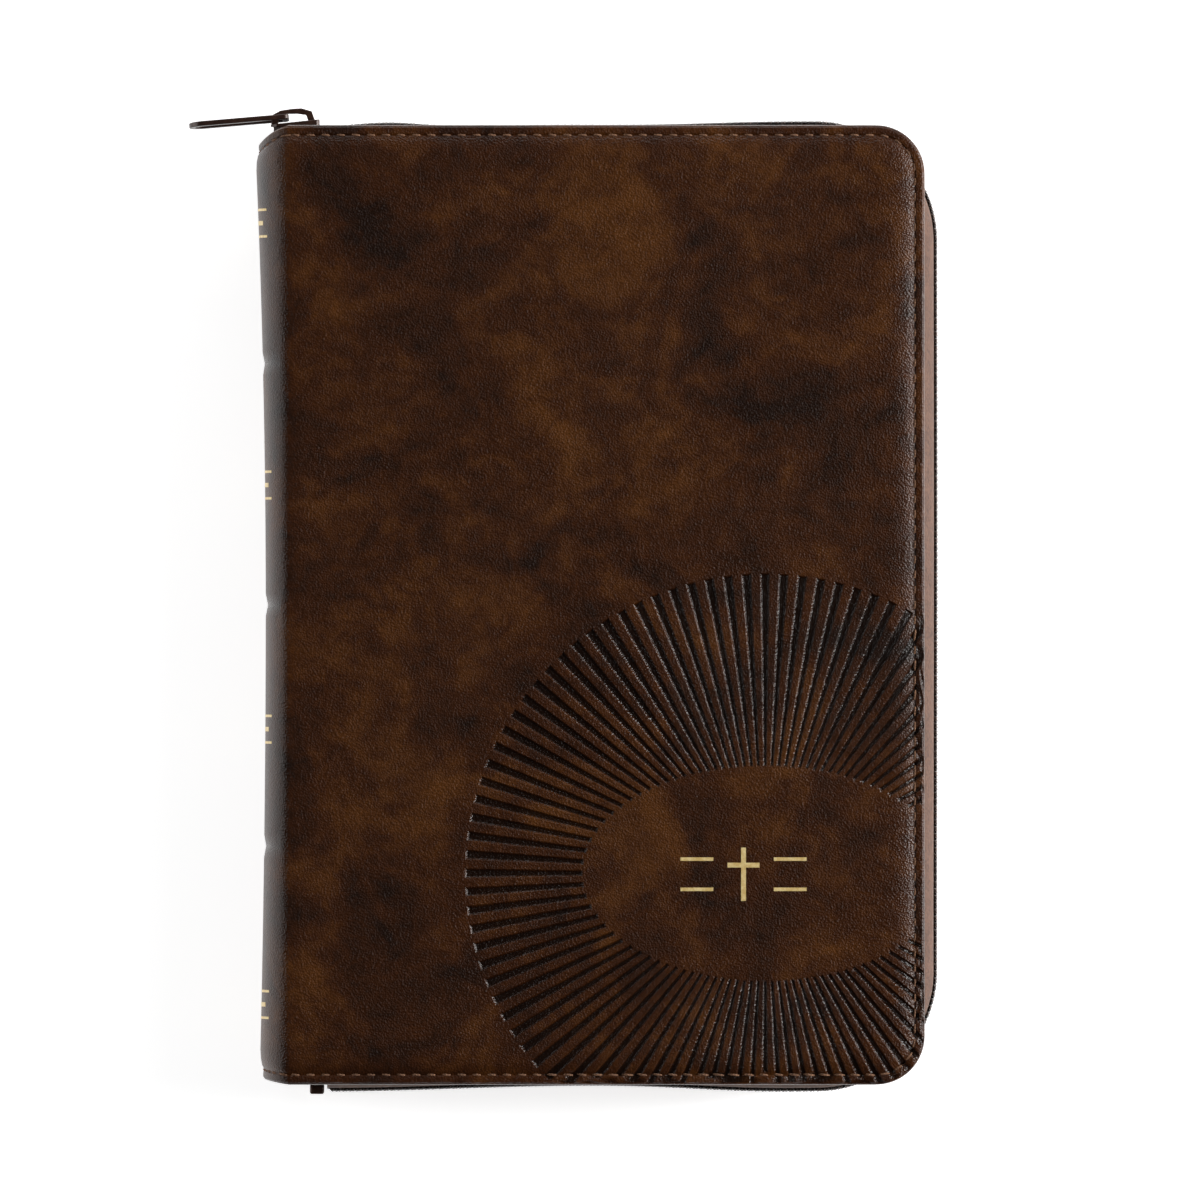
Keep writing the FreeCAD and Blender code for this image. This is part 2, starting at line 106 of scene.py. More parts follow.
# zip
ZIP_START = (-66.8, 106.4)
ZIP_TILT = math.radians(0.85)
ZIP_FORE_X = 77.1
ZIP_TAIL_Y = -108.8
ZIP_END_X = -60.0
ZIP_CORNER_R = 26.0
ZIP_STEP = 0.4             # point spacing along the zip
COIL_PITCH = 1.55
COIL_WIRE = 0.37           # radius
COIL_CENTRE = 0.4          # out from the tape's face, so the inner turns are sewn into it
HEAD_WAVE = 1.3            # the zip bows out beside the slider
HEAD_WAVE_X = -46.0
HEAD_WAVE_WIDTH = 12.0
TAIL_BOW = 1.3             # and in along the tail
TAIL_BOW_X = -4.0
TAIL_BOW_HALF = 49.0


# ---------------------------------------------------------------- meshes
def piece(name, points, faces, material, smooth=True, values=None, crease=50):
    """Mesh object from points in millimetres, with their rest places kept for the materials."""
    points = np.asarray(points, float)
    mesh = bpy.data.meshes.new(name)
    mesh.from_pydata((points * MM).tolist(), [], [list(f) for f in faces])
    rest = mesh.attributes.new("rest", "FLOAT_VECTOR", "POINT")
    rest.data.foreach_set("vector", points.astype(np.float32).ravel())
    if values is not None:
        deboss = mesh.attributes.new("deboss", "FLOAT", "POINT")
        deboss.data.foreach_set("value", np.asarray(values, np.float32))
    obj = bpy.data.objects.new(name, mesh)
    bpy.context.collection.objects.link(obj)
    work = bmesh.new()
    work.from_mesh(mesh)
    bmesh.ops.remove_doubles(work, verts=work.verts, dist=0.002 * MM)
    bmesh.ops.recalc_face_normals(work, faces=work.faces)
    work.to_mesh(mesh)
    work.free()
    mesh.materials.append(material)
    for polygon in mesh.polygons:
        polygon.use_smooth = smooth
    if smooth:
        mesh.set_sharp_from_angle(angle=math.radians(crease))
    return obj


def grid_faces(rows, columns, start=0, closed=False):
    """Quads of a grid of points stored row by row; closed joins the last column to the first."""
    faces = []
    for i in range(rows - 1):
        for j in range(columns if closed else columns - 1):
            a = start + i * columns + j
            b = start + i * columns + (j + 1) % columns
            faces.append((a, b, b + columns, a + columns))
    return faces


def rim_faces(columns, rows):
    """Quads between the rims of two grids, the second stored after the first."""
    count = columns * rows
    rim = [i * rows for i in range(columns)]
    rim += [(columns - 1) * rows + k for k in range(1, rows)]
    rim += [i * rows + rows - 1 for i in reversed(range(columns - 1))]
    rim += list(reversed(range(1, rows - 1)))
    return [(a, b, b + count, a + count) for a, b in zip(rim, rim[1:] + rim[:1])]


def slab_faces(columns, rows):
    """Faces of a closed sheet whose two sides are grids, one stored after the other."""
    count = columns * rows
    first = grid_faces(columns, rows)
    second = [tuple(i + count for i in reversed(f)) for f in first]
    return first + second + rim_faces(columns, rows)


def join_parts(parts):
    """One list of points and one of faces from several."""
    points, faces = [], []
    for some_points, some_faces in parts:
        start = len(points)
        points.extend(some_points)
        faces.extend([tuple(start + i for i in f) for f in some_faces])
    return points, faces


def tube(path, across, radii, sides):
    """Tube with flat ends round a path; across is the list of its (u, v) directions."""
    points = []
    for centre, (u, v), (ru, rv) in zip(path, across, radii):
        for k in range(sides):
            a = 2 * math.pi * k / sides
            points.append(centre + u * (ru * math.cos(a)) + v * (rv * math.sin(a)))
    faces = grid_faces(len(path), sides, closed=True)
    faces.append(tuple(range(sides)))
    faces.append(tuple(range(len(points) - sides, len(points))))
    return points, faces


# ---------------------------------------------------------------- materials
WAVE_REPEAT = 0.314        # a wave texture of scale 1 repeats after this length


class Shader:
    """A node material; inputs are given by name, as values or as sockets to link."""

    def __init__(self, name, carried_over=False):
        self.material = bpy.data.materials.new(name)
        self.material.use_nodes = True
        self.tree = self.material.node_tree
        self.surface = self.tree.nodes["Principled BSDF"]
        if carried_over:
            object_place = self.add("ShaderNodeTexCoord").outputs["Object"]
            scaled = self.add("ShaderNodeVectorMath", operation="SCALE", Vector=object_place,
                              Scale=1 / MM)
            self.place = scaled.outputs[0]
        else:
            rest = self.add("ShaderNodeAttribute", attribute_name="rest")
            self.place = rest.outputs["Vector"]

    def add(self, kind, **settings):
        node = self.tree.nodes.new(kind)
        for key, value in settings.items():
            if key in node.inputs:
                self.put(node.inputs[key], value)
            elif key.startswith("in_"):
                self.put(node.inputs[int(key[3:])], value)
            else:
                setattr(node, key, value)
        return node

    def put(self, socket, value):
        if isinstance(value, bpy.types.NodeSocket):
            self.tree.links.new(value, socket)
        else:
            socket.default_value = value

    def set(self, **values):
        for key, value in values.items():
            self.put(self.surface.inputs[key.replace("_", " ")], value)

    def noise(self, size, detail=4.0, roughness=0.55, distortion=0.0, place=None):
        node = self.add("ShaderNodeTexNoise", Vector=place or self.place, Scale=1 / size,
                        Detail=detail, Roughness=roughness, Distortion=distortion)
        return node.outputs["Fac"]

    def cells(self, size):
        node = self.add("ShaderNodeTexVoronoi", Vector=self.place, Scale=1 / size)
        return node.outputs["Distance"]

    def stretched(self, x, y, z):
        """The place, squeezed by a size along each axis."""
        node = self.add("ShaderNodeVectorMath", operation="DIVIDE", in_0=self.place,
                        in_1=(x, y, z))
        return node.outputs[0]

    def ramp(self, factor, stops):
        node = self.add("ShaderNodeValToRGB", Fac=factor)
        elements = node.color_ramp.elements
        while len(elements) < len(stops):
            elements.new(0.5)
        for element, (at, colour) in zip(elements, stops):
            element.position = at
            element.color = (*colour, 1.0)
        return node.outputs["Color"]

    def math(self, operation, a, b=0.0):
        return self.add("ShaderNodeMath", operation=operation, in_0=a, in_1=b).outputs[0]

    def mix(self, factor, a, b):
        node = self.add("ShaderNodeMix", data_type="RGBA")
        self.put(node.inputs["Factor"], factor)
        self.put(node.inputs[6], a if isinstance(a, bpy.types.NodeSocket) else (*a, 1.0))
        self.put(node.inputs[7], b if isinstance(b, bpy.types.NodeSocket) else (*b, 1.0))
        return node.outputs[2]

    def spread(self, factor, low, high):
        node = self.add("ShaderNodeMapRange", Value=factor, in_3=low, in_4=high)
        return node.outputs[0]

    def bump(self, height, depth, strength=1.0, below=None):
        node = self.add("ShaderNodeBump", Height=height, Distance=depth * MM, Strength=strength)
        if below is not None:
            self.put(node.inputs["Normal"], below)
        self.put(self.surface.inputs["Normal"], node.outputs[0])
        return node.outputs[0]


def leather_material():
    s = Shader("brown_leather")
    blotch = s.noise(26.0, 5.0, 0.62, 0.7)
    marble = s.noise(7.0, 6.0, 0.65, 1.2)
    streak = s.noise(1.0, 4.0, 0.6, 0.4, s.stretched(16.0, 6.0, 6.0))
    tone = s.math("ADD", s.math("MULTIPLY", blotch, 0.55), s.math("MULTIPLY", marble, 0.28))
    tone = s.math("ADD", tone, s.math("MULTIPLY", streak, 0.17))
    colour = s.ramp(tone, [(0.38, (0.011, 0.0028, 0.0004)), (0.5, (0.042, 0.0105, 0.0011)),
                           (0.63, (0.100, 0.032, 0.0045))])
    grain = s.cells(0.44)
    colour = s.mix(s.spread(grain, 0.0, 0.35), colour, (0.012, 0.005, 0.002))
    deboss = s.add("ShaderNodeAttribute", attribute_name="deboss").outputs["Fac"]
    colour = s.mix(s.math("MULTIPLY", deboss, 0.88), colour, (0.005, 0.0024, 0.0015))
    fine = s.noise(0.3, 3.0, 0.6)
    s.set(Base_Color=colour, Roughness=s.math("SUBTRACT", s.spread(fine, 0.26, 0.42),
                                              s.math("MULTIPLY", deboss, 0.14)))
    s.surface.inputs["Specular IOR Level"].default_value = 0.26
    wrinkle = s.bump(s.noise(3.2, 4.0, 0.6), 0.08, 0.6)
    pebbles = s.bump(grain, 0.15, 0.95, wrinkle)
    s.bump(fine, 0.03, 0.5, pebbles)
    return s.material


def fibre_material(name, dark, light, size, roughness=0.8, bump=0.08, carried_over=False):
    """Matt fibrous stuff: board, foam, paper, cloth."""
    s = Shader(name, carried_over)
    mottle = s.noise(size, 5.0, 0.65)
    s.set(Base_Color=s.ramp(mottle, [(0.3, dark), (0.7, light)]), Roughness=roughness)
    s.bump(s.noise(size / 4, 3.0), bump, 0.6)
    return s.material


def weave_material(name, dark, light, pitch, carried_over=False):
    """Plain weave seen from any side: picks across the cloth, broken into threads."""
    s = Shader(name, carried_over)
    warp = s.add("ShaderNodeTexWave", Vector=s.place, Scale=WAVE_REPEAT / pitch, Distortion=0.6,
                 bands_direction="Z").outputs["Fac"]
    threads = s.cells(pitch * 1.5)
    cloth = s.math("MULTIPLY", warp, s.math("SUBTRACT", 1.0, threads))
    tone = s.math("ADD", s.math("MULTIPLY", cloth, 0.7), s.math("MULTIPLY", s.noise(4.0), 0.4))
    s.set(Base_Color=s.ramp(tone, [(0.1, dark), (0.75, light)]), Roughness=0.85)
    s.surface.inputs["Sheen Weight"].default_value = 0.05
    s.bump(cloth, 0.14, 0.9)
    return s.material


def metal_material(name, dark, light, roughness, metallic=1.0, carried_over=False):
    s = Shader(name, carried_over)
    # mottled wear on the metals; on the nylon coil, whose light end is bright, this speckle is
    # painted glints
    wear_and_painted_glints = s.noise(1.4, 5.0, 0.7)
    s.set(Base_Color=s.ramp(wear_and_painted_glints, [(0.42, dark), (0.68, light)]),
          Roughness=s.spread(s.noise(0.5), roughness - 0.08, roughness + 0.1))
    s.surface.inputs["Metallic"].default_value = metallic
    s.bump(s.noise(0.35, 3.0), 0.02, 0.5)
    return s.material


def page_material():
    """Page ends: fine leaves, gilt rubbed thin in places."""
    s = Shader("gilt_page_edge")
    leaves = s.noise(1.0, 3.0, 0.6, 0.0, s.stretched(40.0, 40.0, 0.16))
    rub = s.noise(9.0, 5.0, 0.6)
    gilt = s.ramp(leaves, [(0.35, (0.24, 0.13, 0.035)), (0.65, (0.62, 0.42, 0.16))])
    s.set(Base_Color=s.mix(s.spread(rub, 0.0, 0.35), gilt, (0.66, 0.56, 0.4)), Roughness=0.36,
          Metallic=s.spread(rub, 0.95, 0.35))
    s.bump(leaves, 0.08, 0.7)
    return s.material


LEATHER = leather_material()
THREAD = weave_material("tan_thread", (0.07, 0.03, 0.015), (0.34, 0.17, 0.085), 0.22)
TAPE = weave_material("woven_tape", (0.032, 0.013, 0.007), (0.17, 0.083, 0.05), 0.5)
# the coil's light speckle is painted glints on its turns, and lifts its overall tone
COIL = metal_material("nylon_coil", (0.018, 0.012, 0.01), (0.15, 0.11, 0.095), 0.17, 0.0)
PAINT = metal_material("painted_metal", (0.03, 0.013, 0.009), (0.06, 0.028, 0.018), 0.3, 0.25)
STOP = metal_material("stop_metal", (0.05, 0.022, 0.014), (0.1, 0.05, 0.032), 0.34, 0.3, True)
FOIL = metal_material("gold_foil", (0.72, 0.5, 0.18), (0.95, 0.78, 0.4), 0.36, 0.25)
LINING = fibre_material("lining_paper", (0.035, 0.015, 0.008), (0.07, 0.032, 0.016), 3.0)
PAPER = fibre_material("bible_paper", (0.46, 0.42, 0.33), (0.56, 0.52, 0.42), 2.0, 0.7, 0.02)
PAGE_EDGE = page_material()
FOAM = fibre_material("foam", (0.5, 0.46, 0.36), (0.68, 0.64, 0.52), 0.8)
CARD = fibre_material("card", (0.2, 0.16, 0.11), (0.36, 0.3, 0.22), 1.2)
BOARD = fibre_material("grey_board", (0.22, 0.2, 0.17), (0.38, 0.35, 0.3), 1.5, carried_over=True)
MULL = weave_material("mull_cloth", (0.45, 0.42, 0.34), (0.8, 0.77, 0.68), 0.6, True)
BAND = weave_material("band_silk", (0.3, 0.16, 0.05), (0.75, 0.6, 0.32), 0.5)


# ---------------------------------------------------------------- leather surfaces
def spine_edge(z, end):
    """How far out the leather reaches at this height on the spine; end is 1 at the head, -1 at
    the tail."""
    dip = HEAD_DIP if end > 0 else TAIL_DIP
    return HALF_HEIGHT - dip * (1 - ((z - MID_Z) / MID_Z) ** 2)


def spine_point(turn, y):
    """Place on the spine's outer face; turn goes from 0 at the back panel to pi at the front."""
    flare = HEAD_FLARE if y > 0 else TAIL_FLARE
    bulge = SPINE_BULGE + flare * (y / 100) ** 2
    return Vector((SPINE_X - bulge * math.sin(turn), y, MID_Z - MID_Z * math.cos(turn)))


def spine_normal(turn):
    """Outward direction on the spine."""
    return Vector((-math.sin(turn) * MID_Z, 0, -math.cos(turn) * SPINE_BULGE)).normalized()


def inset_of(x, y):
    """Distance in from the cover's head, fore-edge and tail."""
    over_x = np.asarray(x) - (FORE_X - CORNER_R)
    over_y = np.abs(y) - (HALF_HEIGHT - CORNER_R)
    corner = np.hypot(np.maximum(over_x, 0), np.maximum(over_y, 0))
    return CORNER_R - np.where((over_x > 0) & (over_y > 0), corner, np.maximum(over_x, over_y))


def drop_at(inset):
    insets, drops = zip(*EDGE_PROFILE)
    return np.interp(inset, insets, drops)


def ripple(x, y):
    """Slow unevenness of the padding."""
    return 0.07 * np.sin(x / 17 + 0.6) * np.cos(y / 23) + 0.05 * np.sin(x / 9 - y / 14)


def oval_radius(angle):
    a, b = SUN_OVAL
    return a * b / np.hypot(b * np.cos(angle), a * np.sin(angle))


def ray_half_width(r):
    return r * math.tau / RAYS * RAY_FRACTION / 2


def ray_wall(half):
    return np.minimum(RAY_WALL, RAY_WALL_SHARE * half)


def ray_depth(x, y):
    """Depth of the sunburst's rays on the front panel, and how far down their sides it is."""
    dx, dy = x - SUN[0], y - SUN[1]
    r = np.hypot(dx, dy)
    angle = np.arctan2(dy, dx)
    step = math.tau / RAYS
    middle = np.round(angle / step) * step
    across = np.abs(r * np.sin(angle - middle))
    half = ray_half_width(r)
    wall = np.clip((half - across) / np.maximum(ray_wall(half), 0.05), 0, 1)
    ends = np.clip(np.minimum(r - oval_radius(middle), SUN_R - r) / RAY_END, 0, 1)
    fade = np.clip((inset_of(x, y) - RAY_FADE_START) / RAY_FADE, 0, 1)
    sunk = np.minimum(wall, ends) * fade
    return RAY_SLOPE * ray_wall(half) * sunk, sunk


def outline_at(inset, step=GRID):
    """Points along the cover's edge, this far in: head, fore-edge, tail, from spine to spine."""
    y, x, r = HALF_HEIGHT - inset, FORE_X - inset, max(CORNER_R - inset, 0.5)
    points = []
    count = round((x - r - SPINE_X) / step)
    head = [(SPINE_X + (x - r - SPINE_X) * k / count, y) for k in range(count)]
    turn = [(x - r + r * math.sin(a), y - r + r * math.cos(a))
            for a in np.linspace(0, math.pi / 2, CORNER_POINTS)]
    points += head + turn
    count = round(2 * (y - r) / step)
    points += [(x, y - r - 2 * (y - r) * k / count) for k in range(1, count)]
    points += [(px, -py) for px, py in reversed(head + turn)]
    return points


def ray_outlines():
    """Loops round each ray's rim and floor, cut off at the cover's edge."""
    loops = []
    for k in range(RAYS):
        angle = math.tau * k / RAYS
        along = np.array([math.cos(angle), math.sin(angle)])
        across = np.array([-along[1], along[0]])
        for is_floor in (False, True):
            end = RAY_END if is_floor else 0.0
            inner = float(oval_radius(angle)) + end
            outer = SUN_R - end
            radii = np.linspace(inner, outer, max(3, round((outer - inner) / GRID)))
            places = np.array([np.array(SUN) + along * r for r in radii])
            radii = radii[inset_of(places[:, 0], places[:, 1]) > RAY_FADE]
            if len(radii) < 2:
                continue
            half = ray_half_width(radii)
            if is_floor:
                half = half - ray_wall(half)
            left = [np.array(SUN) + along * r + across * h for r, h in zip(radii, half)]
            right = [np.array(SUN) + along * r - across * h for r, h in zip(radii, half)]
            loops.append(left + right[::-1])
    return loops


def spine_side_rows():
    """Heights of the points along the line where a panel meets the spine."""
    insets = [inset for inset, _ in EDGE_PROFILE]
    last = HALF_HEIGHT - insets[-1]
    count = round(2 * last / GRID)
    inner = [-last + 2 * last * k / count for k in range(1, count)]
    outer = [HALF_HEIGHT - inset for inset in insets]
    return sorted([-y for y in outer] + inner + outer)


def panel(rays):
    """Points, faces and deboss values of one padded panel whose outside is at z = 0."""
    places, edges = [], []

    def chain(points, closed=False):
        start = len(places)
        places.extend(Vector((float(p[0]), float(p[1]))) for p in points)
        count = len(points)
        edges.extend((start + k, start + (k + 1) % count)
                     for k in range(count if closed else count - 1))

    for inset, _ in EDGE_PROFILE:
        chain(outline_at(inset))
    chain([(SPINE_X, y) for y in spine_side_rows()])
    if rays:
        for loop in ray_outlines():
            chain(loop, closed=True)
    margin = 1.0               # keeps the grid's points off the lines chained above
    inner = EDGE_PROFILE[-1][0] + margin
    for x in np.arange(SPINE_X + GRID, FORE_X, GRID):
        for y in np.arange(-HALF_HEIGHT, HALF_HEIGHT, GRID):
            clear = float(inset_of(x, y)) > inner
            in_sun = rays and math.hypot(x - SUN[0], y - SUN[1]) < SUN_R + 0.5
            in_oval = math.hypot((x - SUN[0]) / SUN_OVAL[0], (y - SUN[1]) / SUN_OVAL[1]) < 0.95
            if clear and (not in_sun or in_oval):
                places.append(Vector((x, y)))
    # output type 1 meshes only what the chained lines enclose
    flat, _, faces, _, _, _ = geometry.delaunay_2d_cdt(places, edges, [], 1, 1e-4, False)
    x = np.array([p.x for p in flat])
    y = np.array([p.y for p in flat])
    depth, sunk = ray_depth(x, y) if rays else (np.zeros(len(x)), np.zeros(len(x)))
    settle = np.clip((x - SPINE_X) / 8, 0, 1) * np.clip(inset_of(x, y) / 6, 0, 1)
    drop = drop_at(inset_of(x, y)) + depth - ripple(x, y) * settle
    points = np.column_stack([x, y, -drop])
    return points, faces, sunk


def turned_edge():
    """Strip of leather that turns under along the panel's outline."""
    rows = [(0.0, EDGE_PROFILE[0][1])] + TURNED_UNDER
    points = []
    for inset, drop in rows:
        ring = outline_at(0.0)
        for px, py in ring:
            cx = min(px, FORE_X - CORNER_R)
            cy = max(min(py, HALF_HEIGHT - CORNER_R), CORNER_R - HALF_HEIGHT)
            away = Vector((px - cx, py - cy))
            away = away.normalized() if away.length > 1e-6 else Vector((0, 1))
            points.append((px - away.x * inset, py - away.y * inset, -drop))
    return points, grid_faces(len(rows), len(outline_at(0.0)))


def spine_grid():
    """Points, faces and deboss values of the spine, with its grooves and turned-in ends."""
    turns = np.linspace(0, math.pi, SPINE_TURNS)
    rows = spine_side_rows()
    points, deboss = [], []
    for turn in turns:
        for y in rows:
            z = MID_Z - MID_Z * math.cos(turn)
            pull = np.clip((abs(y) - DIP_START) / (HALF_HEIGHT - DIP_START), 0, 1)
            place = math.copysign(abs(y) - (HALF_HEIGHT - spine_edge(z, y)) * pull, y)
            groove = max(0, max(1 - abs(place - g) ** 4 for g in GROOVES))
            if not GROOVE_TURN < turn < math.pi - GROOVE_TURN:
                groove = 0
            depth = float(drop_at(HALF_HEIGHT - abs(y))) + GROOVE_DEPTH * groove
            at = spine_point(turn, place) - spine_normal(turn) * depth
            points.append(tuple(at))
            deboss.append(groove * 0.8)
    faces = grid_faces(len(turns), len(rows))
    end_rows = [(0.0, EDGE_PROFILE[0][1])] + TURNED_UNDER
    for end in (-1, 1):
        start = len(points)
        for inset, drop in end_rows:
            for turn in turns:
                z = MID_Z - MID_Z * math.cos(turn)
                y = end * (spine_edge(z, end) - inset)
                outer = spine_point(turn, end * spine_edge(z, end))
                at = Vector((outer.x, y, outer.z)) - spine_normal(turn) * drop
                points.append(tuple(at))
                deboss.append(0.0)
        faces += grid_faces(len(end_rows), len(turns), start)
    return points, faces, deboss


def hinge_blend(obj):
    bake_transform(obj)


def make_front_leather():
    """Front panel, joint and spine, cut from one sheet."""
    top, top_faces, top_deboss = panel(True)
    top[:, 2] += THICKNESS
    edge, edge_faces = turned_edge()
    edge = [(x, y, z + THICKNESS) for x, y, z in edge]
    spine, spine_faces, spine_deboss = spine_grid()
    points, faces = join_parts([(top.tolist(), top_faces), (edge, edge_faces),
                                (spine, spine_faces)])
    values = list(top_deboss) + [0.0] * len(edge) + list(spine_deboss)
    obj = piece("front_leather_sheet", points, faces, LEATHER, values=values, crease=26)
    hinge_blend(obj)
    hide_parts("front_cover_leather", "front_joint_leather", "spine_leather")


def make_back_leather():
    flat, faces, _ = panel(False)
    flat[:, 2] *= -1
    edge, edge_faces = turned_edge()
    edge = [(x, y, -z) for x, y, z in edge]
    points, faces = join_parts([(flat.tolist(), faces), (edge, edge_faces)])
    obj = piece("back_leather_panel", points, faces, LEATHER, values=[0.0] * len(points))
    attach(obj, "book")
    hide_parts("back_cover_leather")


# ---------------------------------------------------------------- stitching
STITCH_POINTS = 9
STITCH_SLANT = 0.09
STITCH_WANDER = 0.03
STITCH_CREST = 0.1         # height of a stitch's middle over the leather
STITCH_SINK = 0.42         # how far its ends are below its middle
THREAD_R = (0.25, 0.24)


def walk(points, pitch, margin=0.0):
    """Places and directions every pitch along a line of points."""
    points = [Vector(p) for p in points]
    spans = [(b - a).length for a, b in zip(points, points[1:])]
    total = sum(spans)
    count = int((total - 2 * margin) / pitch)
    first = (total - count * pitch) / 2
    out, passed, k = [], 0.0, 0
    for n in range(count + 1):
        target = first + n * pitch
        while k < len(spans) - 1 and passed + spans[k] < target:
            passed += spans[k]
            k += 1
        share = (target - passed) / max(spans[k], 1e-9)
        out.append((points[k].lerp(points[k + 1], share), (points[k + 1] - points[k]).normalized()))
    return out


def stitch(centre, along, out):
    """One bent stitch of twisted thread, its ends sunk into their holes."""
    side = along.cross(out).normalized()
    wander = random.uniform(-STITCH_WANDER, STITCH_WANDER)
    slant = (along + side * STITCH_SLANT + side * wander).normalized()
    path, across, radii = [], [], []
    for k in range(STITCH_POINTS):
        t = -1 + 2 * k / (STITCH_POINTS - 1)
        twist = 1 + 0.1 * math.cos(k * math.pi)
        swell = math.sqrt(max(1 - 0.72 * t ** 4, 0.05)) * twist
        rise = STITCH_CREST - STITCH_SINK * t ** 2
        path.append(centre + slant * (t * STITCH_LENGTH / 2) + out * rise)
        across.append((side, out))
        radii.append((THREAD_R[0] * swell, THREAD_R[1] * swell))
    return tube(path, across, radii, 7)


def panel_stitches(side):
    height = THICKNESS if side > 0 else 0.0
    drop = float(drop_at(SEAM_INSET))
    line = [(x, y, height - side * drop) for x, y in outline_at(SEAM_INSET, 1.0)]
    return [stitch(p, d, Vector((0, 0, side))) for p, d in walk(line, STITCH_PITCH, 1.0)]


def spine_stitches():
    parts = []
    for end in (-1, 1):
        line = []
        for turn in np.linspace(0.12, math.pi - 0.12, 60):
            z = MID_Z - MID_Z * math.cos(turn)
            y = end * (spine_edge(z, end) - SEAM_INSET)
            line.append(spine_point(turn, y) - spine_normal(turn) * float(drop_at(SEAM_INSET)))
        for place, direction in walk(line, STITCH_PITCH):
            turn = math.acos(max(min((MID_Z - place.z) / MID_Z, 1), -1))
            parts.append(stitch(place, direction, spine_normal(turn)))
    return parts


def make_stitching():
    points, faces = join_parts(panel_stitches(1) + spine_stitches())
    front = piece("front_and_spine_stitches", points, faces, THREAD)
    hinge_blend(front)
    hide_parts("front_edge_stitching", "spine_stitching")
    points, faces = join_parts(panel_stitches(-1))
    back = piece("back_stitches", points, faces, THREAD)
    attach(back, "book")
    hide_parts("back_edge_stitching")


# ---------------------------------------------------------------- zip
def zip_path():
    """Places and outward directions along the zip, from the head of the spine to the tail."""
    centre_x = ZIP_FORE_X - ZIP_CORNER_R
    head_end = ZIP_START[1] + (centre_x - ZIP_START[0]) * math.tan(ZIP_TILT)
    line = [(ZIP_START[0], ZIP_START[1]), (centre_x, head_end)]
    centre_y = head_end - ZIP_CORNER_R
    for a in np.linspace(0.03, math.pi / 2, 30):
        line.append((centre_x + ZIP_CORNER_R * math.sin(a), centre_y + ZIP_CORNER_R * math.cos(a)))
    low_y = ZIP_TAIL_Y + ZIP_CORNER_R
    for a in np.linspace(0, math.pi / 2, 30):
        line.append((centre_x + ZIP_CORNER_R * math.cos(a), low_y - ZIP_CORNER_R * math.sin(a)))
    line.append((ZIP_END_X, ZIP_TAIL_Y))
    out = []
    for place, along in walk([(x, y, 0) for x, y in line], ZIP_STEP):
        outward = Vector((-along.y, along.x, 0))
        wave = 0.0
        if along.x < -0.9 and abs(place.x - TAIL_BOW_X) < TAIL_BOW_HALF:
            share = (place.x - TAIL_BOW_X) / (2 * TAIL_BOW_HALF)
            wave = -TAIL_BOW * math.cos(math.pi * share) ** 2
        if along.x > 0.9:
            wave = HEAD_WAVE * math.exp(-((place.x - HEAD_WAVE_X) / HEAD_WAVE_WIDTH) ** 2)
        slack = 0.14 * math.sin(place.x / 8.5) * math.sin(place.y / 31 + 1)
        out.append((place + outward * (wave + slack), outward, along))
    return out


ZIP_PATH = zip_path()
TAPE_PATH = ZIP_PATH[::4]
TAPE_HEIGHTS = np.linspace(1.6, 14.7, 13)
TAPE_THICKNESS = 0.45
COIL_OFF_MIDDLE = 1.25
COIL_HALF_WIDTH = 1.5
COIL_RISE = 0.36
COIL_STEPS = 12            # points in one turn
WORN_EDGE = 0.14


def tape_lean(height):
    """How far the tape leans in at this height above mid thickness."""
    return -3.5 * max((height - 6.0) / 8.7, 0) ** 1.6


def make_tape(name, node, body, side):
    outer = [(tape_lean(h), h) for h in TAPE_HEIGHTS]
    section = outer + [(n - TAPE_THICKNESS, h) for n, h in reversed(outer)]
    points = []
    for place, outward, _ in TAPE_PATH:
        for n, h in section:
            at = place + outward * n
            points.append((at.x, at.y, MID_Z + side * h))
    faces = grid_faces(len(TAPE_PATH), len(section), closed=True)
    faces.append(tuple(range(len(section))))
    faces.append(tuple(range(len(points) - len(section), len(points))))
    obj = piece(name, points, faces, TAPE)
    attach(obj, body)
    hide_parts(node)


def make_coil(name, node, body, side):
    """Helix of wire along the zip; the two halves are half a pitch apart."""
    centre_z = MID_Z + side * COIL_OFF_MIDDLE
    length = ZIP_STEP * (len(ZIP_PATH) - 1)
    turns = int(length / COIL_PITCH)
    path, across = [], []
    for k in range(turns * COIL_STEPS):
        s = k / COIL_STEPS * COIL_PITCH + (COIL_PITCH / 2 if side < 0 else 0)
        index = min(s / ZIP_STEP, len(ZIP_PATH) - 1.001)
        low = int(index)
        place = ZIP_PATH[low][0].lerp(ZIP_PATH[low + 1][0], index - low)
        outward, along = ZIP_PATH[low][1], ZIP_PATH[low][2]
        a = math.tau * k / COIL_STEPS
        at = place + outward * (COIL_CENTRE + COIL_RISE * math.sin(a))
        at.z = centre_z + side * COIL_HALF_WIDTH * math.cos(a)
        path.append(at)
        across.append((along, outward.lerp(Vector((0, 0, 1)), 0.5).normalized()))
    points, faces = tube(path, across, [(COIL_WIRE, COIL_WIRE)] * len(path), 5)
    obj = piece(name, points, faces, COIL)
    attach(obj, body)
    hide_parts(node)


